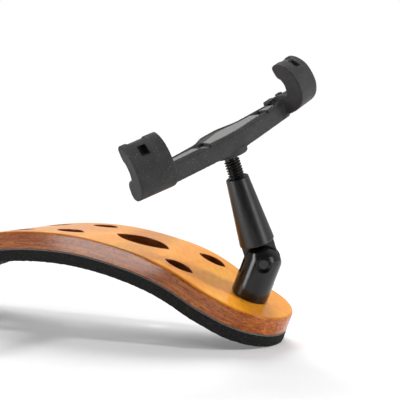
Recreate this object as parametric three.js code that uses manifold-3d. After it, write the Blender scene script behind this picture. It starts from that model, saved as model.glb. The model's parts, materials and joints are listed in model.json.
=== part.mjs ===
// Violin shoulder rest: a bent wooden plate on a foam pad, with a folding, screw-adjusted foot
// at each end that carries a rubber-covered fork with two hooks for the edge of the violin.
// Millimetres, +Z up, +X along the plate, standing on Z = 0.
import * as THREE from 'three';
import { mergeVertices } from 'three/addons/utils/BufferGeometryUtils.js';
import Module from 'manifold-3d';

// ---- plate ---------------------------------------------------------------------------------
const WOOD_THICKNESS = 6.9;
const SHEET_THICKNESS = 0.35;
const FOAM_THICKNESS = 4.3;
const LAYER_GAP = 0.05;
const PLATE_HALF_WIDTH = 21.1;
const END_HALF_WIDTH = 19.2;
const END_ROUND_LENGTH = 17.5;
const RIGHT_END = 99.5;
const LEFT_END = -106.3;
const FLOOR_FACET = 0.3;
const STATION_STEP = 4;
// Downward slope in degrees at each distance along the top face from the summit.
const BEND = [
  [-106.3, -22.2], [-87, -22.2], [-81, -23], [-75, -24.5], [-67, -22.5], [-58, -18.8], [-45, -14.2],
  [-27, -9.3], [-12.7, -4], [0, 0], [7.3, 2.3], [27.3, 10.3], [42.3, 14.2], [52.3, 20],
  [60.3, 26], [68, 31], [74.5, 24.5], [78.5, 22.2], [99.5, 22.2],
];
// Each leaf-shaped hole: distance along the plate, offset across it, length, angle in degrees.
const LEAVES = [
  [57.5, -11.6, 11.6, 8], [58.5, 12.2, 11.6, 6], [33.6, 0, 23.5, 1], [7.5, 12.4, 12.6, -8],
  [6.4, -10, 13.4, -8], [-15, 10, 13.4, 8], [-15.5, -12.4, 12.6, 8], [-42, 0, 23.5, -1],
  [-66, -12, 11.6, -7], [-66, 12, 11.6, 7],
];
const LEAF_ASPECT = 0.56;

// ---- foot ----------------------------------------------------------------------------------
const RIGHT_FOOT_AT = 82.7;
const LEFT_FOOT_AT = -89.5;
const SWIVEL = 31.4;
const TILT = 36.6;
const CLEVIS_RADIUS = 6.9;
const CLEVIS_FOOT = 0.6;
const PIVOT_HEIGHT = 14.5;
const DOME_START = 15.3;
const CLEVIS_TOP = 20.7;
const SLOT_WIDTH = 4.6;
const SLOT_FLOOR = 7.9;
const PIN_RADIUS = 2;
const PIN_HALF_LENGTH = 5.3;
const PIN_RECESS_RADIUS = 2.6;
const TONGUE_THICKNESS = 3.2;
const TONGUE_RADIUS = 5.9;
const WASHER_THICKNESS = 0.4;
const WASHER_RADIUS = 5.2;
const SCREW_RADIUS = 2.5;
const SCREW_REACH = 6;
const HEAD_RADIUS = 4.4;
const HEAD_HEIGHT = 2.4;
const POCKET_RADIUS = 5.6;
const POCKET_DEPTH = 3.6;
const CONE_BOTTOM = 7.2;
const CONE_TOP = 32.2;
const CONE_BOTTOM_RADIUS = 6.4;
const CONE_TOP_RADIUS = 4.1;
const CONE_BORE_RADIUS = 3.1;
const CONE_BORE_DEPTH = 23;
const MOUTH_RADIUS = 3.6;
const MOUTH_DEPTH = 2.8;
const ROD_RADIUS = 2.9;
const ROD_IN_CONE = 15.5;
const NECK_RADIUS = 2.2;
const NECK_LENGTH = 1.4;
const NECK_ABOVE_BAR_BASE = 3.5;
const CLIP_GROOVE_WIDTH = 0.9;
const CLIP_SHOULDER = 0.4;

// ---- fork, measured from the underside of its bar ------------------------------------------
const FORK_HEADING = -41.9;
const FORK_HEIGHT = 9.7;
const BAR_HEIGHT = 6.9;
const BAR_BACK = 5.5;
const BAR_FRONT = -3.9;
const BAR_SWEEP = 9.9;
const HUB_RADIUS = 7.5;
const BOSS_RADIUS = 6.6;
const BOSS_DEPTH = 1.3;
// Each hook: which end of the bar, its distance from the middle, outward turn, rise above the bar.
const NEAR_HOOK = { side: -1, root: 32.5, splay: 18.8, rise: -0.4 };
const FAR_HOOK = { side: 1, root: 35.9, splay: 11.5, rise: 0.8 };
const HOOK_WIDTH = 12.9;
const HOOK_FRONT = -4.6;
const HOOK_FLOOR = 7.6;
const CORE_INSET = 1.5;
const CORE_GAP = 0.2;
const CORE_THICKNESS = 2.1;
const CORE_TOP = 6.4;
const CORE_HALF_LENGTH = 28.5;
const CORE_POCKET_FLOOR = 4;
const BUSH_RADIUS = 3.5;
const BUSH_FLANGE = 4.2;
const BUSH_FLANGE_THICKNESS = 0.7;
const FORK_BORE_RADIUS = 3.75;
const CLIP_CHAMBER_RADIUS = 4.5;
const CLIP_CHAMBER_FLOOR = 1.2;
const CLIP_RADIUS = 3.3;
const WINDOW_SIZE = 2.2;
const WINDOW_PLACE = { out: 6.6, height: 16.6 };

const QUARTER_TURN = Math.PI / 2;
const RUNNING_GAP = 0.1;
// Cutting bodies reach this far past whatever they cut.
const CUT_REACH = 10;
const ROUND = 32;
const SMALL_ROUND = 20;
const rad = THREE.MathUtils.degToRad;

const wasm = await Module();
wasm.setup();

// ---- solids --------------------------------------------------------------------------------
function solid(geometry) {
  const bare = geometry.index ? geometry.toNonIndexed() : geometry.clone();
  bare.deleteAttribute('normal');
  bare.deleteAttribute('uv');
  const merged = mergeVertices(bare, 1e-4);
  const vertProperties = new Float32Array(merged.attributes.position.array);
  const triVerts = new Uint32Array(merged.index.array);
  return new wasm.Manifold(new wasm.Mesh({ numProp: 3, vertProperties, triVerts }));
}

function toGeometry(body) {
  const { vertProperties, triVerts } = body.getMesh();
  const geometry = new THREE.BufferGeometry();
  geometry.setAttribute('position', new THREE.BufferAttribute(vertProperties, 3));
  geometry.setIndex(new THREE.BufferAttribute(triVerts, 1));
  geometry.computeVertexNormals();
  return geometry;
}

// A solid of revolution about Z from [radius, height] pairs.
function turned(profile, segments = ROUND) {
  const points = profile.map(([radius, height]) => new THREE.Vector2(radius, height));
  return solid(new THREE.LatheGeometry(points, segments).rotateX(QUARTER_TURN));
}

function rod(radius, from, to, segments = SMALL_ROUND) {
  return turned([[0, from], [radius, from], [radius, to], [0, to]], segments);
}

function tube(inner, outer, from, to) {
  const profile = [[inner, from], [outer, from], [outer, to], [inner, to], [inner, from]];
  return turned(profile, SMALL_ROUND);
}

function block(x, y, z, width, depth, height) {
  return solid(new THREE.BoxGeometry(width, depth, height).translate(x, y, z));
}

function prism(points, depth) {
  const shape = new THREE.Shape(points.map(([x, y]) => new THREE.Vector2(x, y)));
  return new THREE.ExtrudeGeometry(shape, { depth, bevelEnabled: false });
}

// ---- the bent plate ------------------------------------------------------------------------
function slopeAt(along) {
  const next = BEND.findIndex(([station]) => station >= along);
  const [s1, a1] = BEND[Math.max(next, 1)];
  const [s0, a0] = BEND[Math.max(next, 1) - 1];
  return rad(a0 + ((a1 - a0) * (along - s0)) / (s1 - s0));
}

// The top face's centre line, stepped out from the summit.
function pointAt(along) {
  const steps = Math.max(1, Math.ceil(Math.abs(along)));
  const step = along / steps;
  let x = 0;
  let z = 0;
  for (let i = 0; i < steps; i += 1) {
    const slope = slopeAt(step * (i + 0.5));
    x += step * Math.cos(slope);
    z -= step * Math.sin(slope);
  }
  return { x, z, slope: slopeAt(along) };
}

function halfWidthAt(along) {
  const side = along > 0 ? RIGHT_END : -LEFT_END;
  const fromEnd = side - Math.abs(along);
  const narrowing = THREE.MathUtils.smoothstep(fromEnd, END_ROUND_LENGTH, 3 * END_ROUND_LENGTH);
  const width = THREE.MathUtils.lerp(END_HALF_WIDTH, PLATE_HALF_WIDTH, narrowing);
  const round = Math.max(0, 1 - fromEnd / END_ROUND_LENGTH);
  return width * Math.sqrt(Math.max(0, 1 - round * round));
}

function plateStations() {
  const stations = [];
  const capSteps = 10;
  for (let i = 0; i < capSteps; i += 1) {
    const reach = END_ROUND_LENGTH * (1 - Math.cos((Math.PI / 2) * ((i + 0.5) / capSteps)));
    stations.push(LEFT_END + reach, RIGHT_END - reach);
  }
  for (let s = LEFT_END + END_ROUND_LENGTH; s < RIGHT_END - END_ROUND_LENGTH; s += STATION_STEP) {
    stations.push(s);
  }
  stations.push(RIGHT_END - END_ROUND_LENGTH);
  return stations.sort((a, b) => a - b);
}

// A layer of the plate between two depths below its top face.
function layer(upper, lower) {
  const positions = [];
  const index = [];
  const stations = plateStations();
  stations.forEach((along) => {
    const { x, z, slope } = pointAt(along);
    const half = halfWidthAt(along);
    [[half, upper], [-half, upper], [-half, lower], [half, lower]].forEach(([y, depth]) => {
      positions.push(x - depth * Math.sin(slope), y, z - depth * Math.cos(slope));
    });
  });
  for (let i = 0; i + 1 < stations.length; i += 1) {
    for (let k = 0; k < 4; k += 1) {
      const a = 4 * i + k;
      const b = 4 * i + ((k + 1) % 4);
      index.push(a, b, a + 4, b, b + 4, a + 4);
    }
  }
  const last = 4 * (stations.length - 1);
  index.push(0, 3, 2, 0, 2, 1, last, last + 1, last + 2, last, last + 2, last + 3);
  const geometry = new THREE.BufferGeometry();
  geometry.setAttribute('position', new THREE.Float32BufferAttribute(positions, 3));
  geometry.setIndex(index);
  return solid(geometry);
}

// The frame on the top face: local X along the plate, local Z out of it.
function plateMatrix(along, across = 0) {
  const { x, z, slope } = pointAt(along);
  return new THREE.Matrix4().makeRotationY(slope).setPosition(x, across, z);
}

function leafOutline(length) {
  const half = length / 2;
  const rise = half * LEAF_ASPECT;
  const radius = (half * half + rise * rise) / (2 * rise);
  const reach = Math.asin(half / radius);
  const side = [];
  for (let i = 0; i < 8; i += 1) {
    const angle = reach * (1 - i / 4);
    side.push([radius * Math.sin(angle), radius * Math.cos(angle) - (radius - rise)]);
  }
  return [...side, ...side.map(([x, y]) => [-x, -y])];
}

function leafCutter([along, across, length, angle]) {
  const depth = 4 * CUT_REACH;
  const geometry = prism(leafOutline(length), depth).translate(0, 0, -depth / 2);
  geometry.rotateZ(rad(angle)).applyMatrix4(plateMatrix(along, across));
  return solid(geometry);
}

function placed(body, matrix) {
  return solid(toGeometry(body).applyMatrix4(matrix));
}

function cutAll(body, cutters) {
  return cutters.reduce((rest, cutter) => rest.subtract(cutter), body);
}

function floorHeight() {
  const lowest = [LEFT_END, RIGHT_END].map((end) => {
    const { z, slope } = pointAt(end);
    return z - (WOOD_THICKNESS + SHEET_THICKNESS + FOAM_THICKNESS) * Math.cos(slope);
  });
  return Math.max(...lowest) + FLOOR_FACET;
}

function platePieces() {
  const leaves = LEAVES.map(leafCutter);
  const sheetTop = WOOD_THICKNESS + LAYER_GAP;
  const foamTop = sheetTop + SHEET_THICKNESS + LAYER_GAP;
  const seats = [LEFT_FOOT_AT, RIGHT_FOOT_AT].flatMap((along) => {
    const frame = plateMatrix(along);
    const bore = rod(SCREW_RADIUS + 0.3, -WOOD_THICKNESS - 2, 2);
    const pocket = rod(POCKET_RADIUS, -WOOD_THICKNESS - 2, POCKET_DEPTH - WOOD_THICKNESS);
    return [placed(bore, frame), placed(pocket, frame)];
  });
  const groundDepth = 100;
  const ground = block(0, 0, floorHeight() - groundDepth / 2, 4 * groundDepth, groundDepth, groundDepth);
  return {
    wood: cutAll(layer(0, WOOD_THICKNESS), [...leaves, ...seats]),
    sheet: cutAll(layer(sheetTop, sheetTop + SHEET_THICKNESS), leaves),
    foam: cutAll(layer(foamTop, foamTop + FOAM_THICKNESS), [...leaves, ground]),
  };
}

// ---- the foot's pieces ---------------------------------------------------------------------
function across(body) {
  return placed(body, new THREE.Matrix4().makeRotationX(QUARTER_TURN));
}

function clevis() {
  const dome = [];
  for (let i = 0; i <= 8; i += 1) {
    const angle = (Math.PI / 2) * (i / 8);
    const height = DOME_START + (CLEVIS_TOP - DOME_START) * Math.sin(angle);
    dome.push([CLEVIS_RADIUS * Math.cos(angle), height]);
  }
  const chamfer = 0.3;
  const foot = [[0, CLEVIS_FOOT], [CLEVIS_RADIUS - chamfer, CLEVIS_FOOT]];
  const outer = turned([...foot, [CLEVIS_RADIUS, CLEVIS_FOOT + chamfer], ...dome.slice(0, -1),
    [0, CLEVIS_TOP]]);
  const slotSize = 2 * CUT_REACH;
  const slot = block(0, 0, SLOT_FLOOR + slotSize / 2, slotSize, SLOT_WIDTH, slotSize);
  const up = new THREE.Matrix4().makeTranslation(0, 0, PIVOT_HEIGHT);
  const pinBore = placed(across(rod(PIN_RADIUS + RUNNING_GAP, -CUT_REACH, CUT_REACH)), up);
  const recessFrom = PIN_HALF_LENGTH + RUNNING_GAP;
  const recesses = [1, -1].map((side) => {
    const cut = rod(PIN_RECESS_RADIUS, recessFrom, CUT_REACH);
    const turn = new THREE.Matrix4().makeRotationX(side * QUARTER_TURN);
    return placed(cut, up.clone().multiply(turn));
  });
  const screwBore = rod(SCREW_RADIUS + RUNNING_GAP, -1, SCREW_REACH + 0.6);
  return cutAll(outer, [slot, pinBore, ...recesses, screwBore]);
}

function tongue() {
  const points = [];
  for (let i = 0; i <= 16; i += 1) {
    const angle = Math.PI * (1 + i / 16);
    points.push([TONGUE_RADIUS * Math.cos(angle), TONGUE_RADIUS * Math.sin(angle)]);
  }
  points.push([TONGUE_RADIUS, CONE_BOTTOM + 1], [-TONGUE_RADIUS, CONE_BOTTOM + 1]);
  const flat = prism(points, TONGUE_THICKNESS).translate(0, 0, -TONGUE_THICKNESS / 2);
  const hole = across(rod(PIN_RADIUS + 1.5 * RUNNING_GAP, -CUT_REACH, CUT_REACH));
  return solid(flat.rotateX(QUARTER_TURN)).subtract(hole);
}

function arm() {
  const lip = 0.35;
  const cone = turned([[0, CONE_BOTTOM], [CONE_BOTTOM_RADIUS - lip, CONE_BOTTOM],
    [CONE_BOTTOM_RADIUS, CONE_BOTTOM + lip], [CONE_TOP_RADIUS, CONE_TOP - lip],
    [CONE_TOP_RADIUS - lip, CONE_TOP], [0, CONE_TOP]]);
  const bore = rod(CONE_BORE_RADIUS, CONE_TOP - CONE_BORE_DEPTH, CONE_TOP + 1);
  const mouth = rod(MOUTH_RADIUS, CONE_TOP - MOUTH_DEPTH, CONE_TOP + 1);
  return cone.add(tongue()).subtract(bore).subtract(mouth);
}

function mountingScrew() {
  const headTop = -(WOOD_THICKNESS - POCKET_DEPTH) - WASHER_THICKNESS - RUNNING_GAP;
  const headBottom = headTop - HEAD_HEIGHT;
  const keyRadius = 1.7;
  const keyDepth = 1.3;
  const key = solid(new THREE.CylinderGeometry(keyRadius, keyRadius, 2 * keyDepth, 6)
    .rotateX(QUARTER_TURN).translate(0, 0, headBottom));
  const body = turned([[0, headBottom], [HEAD_RADIUS, headBottom], [HEAD_RADIUS, headTop],
    [SCREW_RADIUS, headTop], [SCREW_RADIUS, SCREW_REACH], [0, SCREW_REACH]]);
  return body.subtract(key);
}

function threadedRod(neckTop) {
  const neckStart = FORK_HEIGHT - BOSS_DEPTH - NECK_LENGTH;
  const groove = neckTop - CLIP_GROOVE_WIDTH - CLIP_SHOULDER;
  const grooveRadius = NECK_RADIUS - CLIP_SHOULDER;
  const shoulder = neckTop - CLIP_SHOULDER;
  return turned([[0, -ROD_IN_CONE], [ROD_RADIUS, -ROD_IN_CONE], [ROD_RADIUS, neckStart],
    [NECK_RADIUS, neckStart], [NECK_RADIUS, groove], [grooveRadius, groove],
    [grooveRadius, shoulder], [NECK_RADIUS, shoulder], [NECK_RADIUS, neckTop], [0, neckTop]]);
}

function bush() {
  const bottom = 0.2 - BOSS_DEPTH;
  const flangeFrom = CLIP_CHAMBER_FLOOR + 0.2;
  const flangeTo = flangeFrom + BUSH_FLANGE_THICKNESS;
  const inner = NECK_RADIUS + 1.5 * RUNNING_GAP;
  return turned([[inner, bottom], [BUSH_RADIUS, bottom], [BUSH_RADIUS, flangeFrom],
    [BUSH_FLANGE, flangeFrom], [BUSH_FLANGE, flangeTo], [inner, flangeTo], [inner, bottom]]);
}

// ---- the fork ------------------------------------------------------------------------------
function sweep(along) {
  const straightPart = 4;
  return Math.max(0, Math.abs(along) - straightPart) * Math.tan(rad(BAR_SWEEP));
}

// The bar seen from above: X is its back, Y runs along it; `inset` shrinks the outline.
function barOutline(nearEnd, farEnd, inset) {
  const hubReach = 12;
  const stations = [nearEnd, -hubReach, -8, -4, 0, 4, 8, hubReach, farEnd];
  const back = stations.map((y) => [BAR_BACK - sweep(y) - inset, y]);
  const front = stations.map((y) => {
    const hub = Math.max(0, 1 - Math.abs(y) / hubReach);
    const swell = (HUB_RADIUS + BAR_FRONT) * THREE.MathUtils.smoothstep(hub, 0, 0.75);
    return [BAR_FRONT - swell + inset, y];
  });
  return [...back, ...front.reverse()];
}

// A hook's section: [outwards from the bar's back, height above its underside].
const HOOK_SECTION = [
  [-8, 0.9], [-6.5, 0.3], [0, 0.3], [3.2, 0.8], [5.8, 1.9], [7.7, 3.8], [8.7, 6.6], [8.8, 9.2],
  [8.2, 12.4], [7.1, 15.2], [5.4, 17.4], [3.2, 19], [1, 19.6], [-0.5, 18.6], [-0.2, 16.4],
  [0.5, 14.6], [1.7, 13.4], [2.5, 11.4], [2.6, 9.4], [2.3, 8.2], [1.4, HOOK_FLOOR],
  [-8, HOOK_FLOOR],
];

// The frame at a hook's root: X outwards from the bar's back, Y along the hook's width.
function hookMatrix({ side, root, splay, rise }) {
  const turn = new THREE.Matrix4().makeRotationZ(side * rad(splay));
  return turn.setPosition(BAR_BACK - sweep(root), side * root, rise);
}

function hook(place) {
  const overlap = 1.5;
  const start = place.side > 0 ? -overlap : -HOOK_WIDTH;
  const width = HOOK_WIDTH + overlap;
  const geometry = prism(HOOK_SECTION, width).rotateX(QUARTER_TURN).translate(0, width + start, 0);
  const whole = solid(geometry.applyMatrix4(hookMatrix(place)));
  const size = 4 * CUT_REACH;
  const inFront = block(HOOK_FRONT - size / 2, place.side * place.root, 0, size, 2 * size, size);
  return whole.subtract(inFront);
}

function hookWindow(place) {
  const { out, height } = WINDOW_PLACE;
  const middle = place.side * HOOK_WIDTH * 0.5;
  return placed(block(out, middle, height, 2.4, WINDOW_SIZE, WINDOW_SIZE), hookMatrix(place));
}

function forkGrip() {
  const bar = solid(prism(barOutline(-NEAR_HOOK.root, FAR_HOOK.root, 0), BAR_HEIGHT));
  const boss = rod(BOSS_RADIUS, -BOSS_DEPTH, 1);
  const pocketEnd = CORE_HALF_LENGTH + CORE_GAP;
  const pocket = solid(prism(barOutline(-pocketEnd, pocketEnd, CORE_INSET - CORE_GAP), CUT_REACH)
    .translate(0, 0, CORE_POCKET_FLOOR));
  const body = [hook(NEAR_HOOK), hook(FAR_HOOK)].reduce((sum, part) => sum.add(part), bar.add(boss));
  const bore = rod(FORK_BORE_RADIUS, -CUT_REACH, CUT_REACH);
  const chamber = rod(CLIP_CHAMBER_RADIUS, CLIP_CHAMBER_FLOOR, CUT_REACH);
  return cutAll(body, [pocket, bore, chamber, hookWindow(NEAR_HOOK), hookWindow(FAR_HOOK)]);
}

function forkCore() {
  return solid(prism(barOutline(-CORE_HALF_LENGTH, CORE_HALF_LENGTH, CORE_INSET), CORE_THICKNESS)
    .translate(0, 0, CORE_TOP - CORE_THICKNESS));
}

// ---- materials -----------------------------------------------------------------------------
const finish = (color, roughness, metalness) => (
  new THREE.MeshStandardMaterial({ color, roughness, metalness }));
const wood = finish(0xd98a46, 0.35, 0);
const adhesive = finish(0x6d7780, 0.6, 0);
const foam = finish(0x262624, 0.95, 0);
const blackMetal = finish(0x19191b, 0.25, 0.6);
const satinMetal = finish(0x2c2b2d, 0.45, 0.5);
const steel = finish(0x9a9c9e, 0.35, 1);
const brass = finish(0xb08d4a, 0.35, 1);
const nylon = finish(0x3a3a3c, 0.6, 0);
const rubber = finish(0x4a4a4c, 0.85, 0);
const stiffener = finish(0x8f8f8d, 0.7, 0);

function add(group, name, body, material) {
  const mesh = new THREE.Mesh(toGeometry(body), material);
  mesh.name = name;
  group.add(mesh);
}

function childGroup(parent, name, height = 0) {
  const group = new THREE.Group();
  group.name = name;
  group.position.z = height;
  parent.add(group);
  return group;
}

// ---- assembly ------------------------------------------------------------------------------
// Nested groups carry the foot's motions: swivel, tilt, then the screwed rod and the fork.
function foot(plate, side, mirror, along) {
  const base = childGroup(plate, `${side}_base`);
  base.applyMatrix4(plateMatrix(along));
  if (mirror < 0) base.rotateZ(Math.PI);
  add(base, `${side}_swivel_washer`, tube(SCREW_RADIUS + 0.3, CLEVIS_RADIUS - 0.6, 0.15, 0.45),
    nylon);
  const headTop = -(WOOD_THICKNESS - POCKET_DEPTH);
  add(base, `${side}_screw_washer`,
    tube(SCREW_RADIUS + 0.3, WASHER_RADIUS, headTop - 0.05 - WASHER_THICKNESS, headTop - 0.05), steel);

  const swivel = childGroup(base, `${side}_swivel`);
  swivel.rotation.z = mirror * rad(SWIVEL);
  add(swivel, `${side}_clevis`, clevis(), blackMetal);
  add(swivel, `${side}_mounting_screw`, mountingScrew(), steel);

  const pivot = childGroup(swivel, `${side}_pivot`, PIVOT_HEIGHT);
  add(pivot, `${side}_pivot_pin`, across(rod(PIN_RADIUS, -PIN_HALF_LENGTH, PIN_HALF_LENGTH)), satinMetal);
  const washerAt = TONGUE_THICKNESS / 2 + 0.15;
  add(pivot, `${side}_front_friction_washer`,
    across(tube(PIN_RADIUS + 0.1, WASHER_RADIUS, washerAt, washerAt + WASHER_THICKNESS)), steel);
  add(pivot, `${side}_back_friction_washer`,
    across(tube(PIN_RADIUS + 0.1, WASHER_RADIUS, -washerAt - WASHER_THICKNESS, -washerAt)), steel);

  const tilt = childGroup(pivot, `${side}_tilt`);
  tilt.rotation.y = -rad(TILT);
  add(tilt, `${side}_arm`, arm(), satinMetal);
  add(tilt, `${side}_lock_ring`,
    tube(ROD_RADIUS + 0.15, MOUTH_RADIUS - 0.1, CONE_TOP - MOUTH_DEPTH + 0.2, CONE_TOP - 0.3), nylon);

  const screw = childGroup(tilt, `${side}_screw`, CONE_TOP);
  const neckTop = FORK_HEIGHT + NECK_ABOVE_BAR_BASE;
  add(screw, `${side}_rod`, threadedRod(neckTop), blackMetal);
  add(screw, `${side}_retaining_clip`,
    tube(NECK_RADIUS - 0.3, CLIP_RADIUS, neckTop - 1.2, neckTop - 0.5), steel);

  const fork = childGroup(screw, `${side}_fork`, FORK_HEIGHT);
  fork.rotation.z = mirror * rad(FORK_HEADING);
  add(fork, `${side}_rod_bush`, bush(), brass);
  add(fork, `${side}_fork_grip`, forkGrip(), rubber);
  add(fork, `${side}_fork_core`, forkCore(), stiffener);
}

const plate = new THREE.Group();
const pieces = platePieces();
add(plate, 'wood_body', pieces.wood, wood);
add(plate, 'adhesive_sheet', pieces.sheet, adhesive);
add(plate, 'foam_pad', pieces.foam, foam);
foot(plate, 'right', 1, RIGHT_FOOT_AT);
foot(plate, 'left', -1, LEFT_FOOT_AT);

// Stand the rest on Z = 0 with the origin under the middle of its box.
plate.updateMatrixWorld(true);
const box = new THREE.Box3().setFromObject(plate, true);
plate.position.set(-(box.min.x + box.max.x) / 2, -(box.min.y + box.max.y) / 2, -floorHeight());
const shoulderRest = new THREE.Group();
shoulderRest.add(plate);

export default shoulderRest;
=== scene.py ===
"""The looks of a violin shoulder rest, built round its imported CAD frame.

Every shape is worked out in millimetres in its own part's frame and placed in metres.
A point's millimetre place in that frame is kept as the attribute "local", which the materials read.
"""

import json
import math

import bpy
import numpy as np
from mathutils import Matrix, Vector
from mathutils.geometry import delaunay_2d_cdt


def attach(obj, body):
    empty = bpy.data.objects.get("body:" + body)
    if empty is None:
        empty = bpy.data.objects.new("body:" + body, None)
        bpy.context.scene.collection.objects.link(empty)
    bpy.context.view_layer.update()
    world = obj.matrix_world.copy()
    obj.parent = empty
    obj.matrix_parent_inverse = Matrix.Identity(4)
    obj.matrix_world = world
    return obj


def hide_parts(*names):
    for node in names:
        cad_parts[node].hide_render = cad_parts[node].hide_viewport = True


MM = 0.001

# ---- plate, as distances along its bent top face from the summit ----
WOOD_THICKNESS = 6.9
SHEET_THICKNESS = 0.35
FOAM_THICKNESS = 4.3
LAYER_GAP = 0.05
PLATE_HALF_WIDTH = 21.1
END_HALF_WIDTH = 19.2
END_ROUND_LENGTH = 17.5
RIGHT_END = 99.5
LEFT_END = -106.3
# Rough lengths of a straight side and of an end's curve, for the number of points along them.
SIDE_LENGTH = 172
END_CURVE_LENGTH = 56
FOOT_ALONG = {"right": 82.7, "left": -89.5}
# Downward slope in degrees at each distance along the top face.
BEND = [
    (-106.3, -22.2), (-87, -22.2), (-81, -23), (-75, -24.5), (-67, -22.5), (-58, -18.8),
    (-45, -14.2), (-27, -9.3), (-12.7, -4), (0, 0), (7.3, 2.3), (27.3, 10.3), (42.3, 14.2),
    (52.3, 20), (60.3, 26), (68, 31), (74.5, 24.5), (78.5, 22.2), (99.5, 22.2),
]
# Each leaf-shaped hole: distance along, offset across, length, angle in degrees.
LEAVES = [
    (57.5, -11.6, 11.6, 8), (58.5, 12.2, 11.6, 6), (33.6, 0, 23.5, 1), (7.5, 12.4, 12.6, -8),
    (6.4, -10, 13.4, -8), (-15, 10, 13.4, 8), (-15.5, -12.4, 12.6, 8), (-42, 0, 23.5, -1),
    (-66, -12, 11.6, -7), (-66, 12, 11.6, 7),
]
LEAF_ASPECT = 0.56
LEAF_TIP_RADIUS = 0.35
WOOD_TOP_ROUND = 1.1
WOOD_BOTTOM_ROUND = 0.35
LEAF_TOP_ROUND = 0.4
LEAF_BOTTOM_ROUND = 0.25
SHEET_ROUND = 0.08
SHEET_OVERHANG = 0.06
FOAM_TOP_ROUND = 0.15
FOAM_BOTTOM_ROUND = 0.45
FOAM_BELLY = 0.2
# The foam's roughness: wavelength, height and number of the waves.
FOAM_WAVES = [(2.6, 0.05, 10), (1.0, 0.035, 14), (0.5, 0.03, 14)]
# Step along the edges of a layer, and spacing of the points between them.
EDGE_STEP = 1.3
FOAM_EDGE_STEP = 0.8
FOAM_LEAF_STEP = 0.9
WOOD_SPACING = 2.4
SHEET_SPACING = 3
FOAM_SPACING = 1.9
# What the "wall" attribute says on the plate's rim and in its holes. It is 0 on the flats. The
# holes' mark also darkens the wood in them with painted shade.
RIM_MARK = 1.0
HOLE_MARK = 2.0

# ---- foot ----
CLEVIS_RADIUS = 6.9
CLEVIS_FOOT = 0.6
PIVOT_HEIGHT = 14.5
DOME_START = 15.3
CLEVIS_TOP = 20.7
SLOT_HALF_WIDTH = 2.3
SLOT_FLOOR = 7.9
PIN_RADIUS = 2.0
PIN_HALF_LENGTH = 5.3
PIN_RECESS_RADIUS = 2.6
PIN_CLEARANCE = 0.1
TONGUE_HALF_THICKNESS = 1.6
TONGUE_RADIUS = 5.9
TONGUE_CLEARANCE = 0.15
WASHER_THICKNESS = 0.4
WASHER_RADIUS = 5.2
WASHER_CLEARANCE = 0.15
SWIVEL_WASHER_RADIUS = 6.3
SWIVEL_WASHER_TOP = 0.45
SCREW_RADIUS = 2.5
SCREW_BORE_RADIUS = 2.8
SCREW_REACH = 6.0
TAP_CLEARANCE = 0.1
TAP_OVERRUN = 0.6
HEAD_RADIUS = 4.4
HEAD_HEIGHT = 2.4
KEY_RADIUS = 1.7
KEY_DEPTH = 1.3
POCKET_RADIUS = 5.6
POCKET_DEPTH = 3.6
CONE_BOTTOM = 7.2
CONE_TOP = 32.2
CONE_BOTTOM_RADIUS = 6.4
CONE_TOP_RADIUS = 4.1
CONE_BORE_RADIUS = 3.1
CONE_BORE_DEPTH = 23.0
MOUTH_RADIUS = 3.6
MOUTH_DEPTH = 2.8
ROD_RADIUS = 2.9
ROD_IN_CONE = 15.5
THREAD_PITCH = 1.0
THREAD_DEPTH = 0.55
# The ridge's height in its middle, before it is cut off flat at 1, and its fall a turn away.
THREAD_CREST = 1.35
THREAD_FLANK = 3.625
THREAD_LEAD_IN = 0.8
THREAD_RUN_OUT = 0.5
NECK_RADIUS = 2.2
NECK_LENGTH = 1.4
NECK_OVERRUN = 3.5
GROOVE_DEPTH = 0.4

# ---- fork, measured from the underside of its bar ----
FORK_HEIGHT = 9.7
BAR_HEIGHT = 6.9
BAR_BACK = 5.5
BAR_FRONT = -3.9
BAR_SWEEP = 9.9
BAR_STRAIGHT = 4
HUB_RADIUS = 7.5
HUB_REACH = 13
HUB_FLAT = 0.2
BOSS_RADIUS = 6.6
BOSS_DEPTH = 1.3
# The bar's top: a small step in round its back, and a low rim along its front.
LEDGE_HEIGHT = 5.5
LEDGE_DEPTH = 0.35
LEDGE_FRONT = -1
RIM_INSET = 0.45
RIM_HALF_WIDTH = 0.4
RIM_FLOOR = 4
RIM_RISE = 0.35
RIM_BACK = -1.5
# Each hook: end of the bar, root's distance from its middle, outward turn and rise. Its pad and
# pocket, like the tab and the notch of both, are boxes in the hook's frame: middle, half size.
NEAR_HOOK = {"side": -1, "root": 32.5, "splay": 18.8, "rise": -0.4,
             "pad": [(-4.5, -1.3, 5.9), (1.4, 2.1, 1.6)],
             "pocket": [(5.6, 6.9, 16.2), (2.2, 1.5, 1.5)]}
FAR_HOOK = {"side": 1, "root": 35.9, "splay": 11.5, "rise": 0.8,
            "pad": [(-4.5, -2.0, 5.9), (1.4, 2.8, 1.6)],
            "pocket": [(5.6, 6.9, 17.4), (2.2, 1.5, 1.5)]}
HOOK_TAB = [(-4.4, 6.0, 6.2), (0.9, 1.6, 1.5)]
HOOK_NOTCH = [(-0.5, 7.0, 20.2), (3.2, 3.1, 1.2)]
HOOK_START = -0.8
HOOK_WIDTH = 12.9
HOOK_FRONT = -5.2
CORE_FLOOR = 4.2
CORE_TOP = 5.7
CORE_INSET = 1.5
CORE_GAP = 0.2
CORE_HALF_LENGTH = 28.5
STRIP_GAP = 0.12
BUSH_RADIUS = 3.5
BUSH_FLANGE = 4.2
BUSH_CLEARANCE = 0.2
FLANGE_THICKNESS = 0.7
FORK_BORE_RADIUS = 3.75
CLIP_CHAMBER_RADIUS = 4.5
CLIP_CHAMBER_FLOOR = 1.2
CLIP_CHAMBER_TOP = 5
CLIP_RADIUS = 3.3
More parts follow.
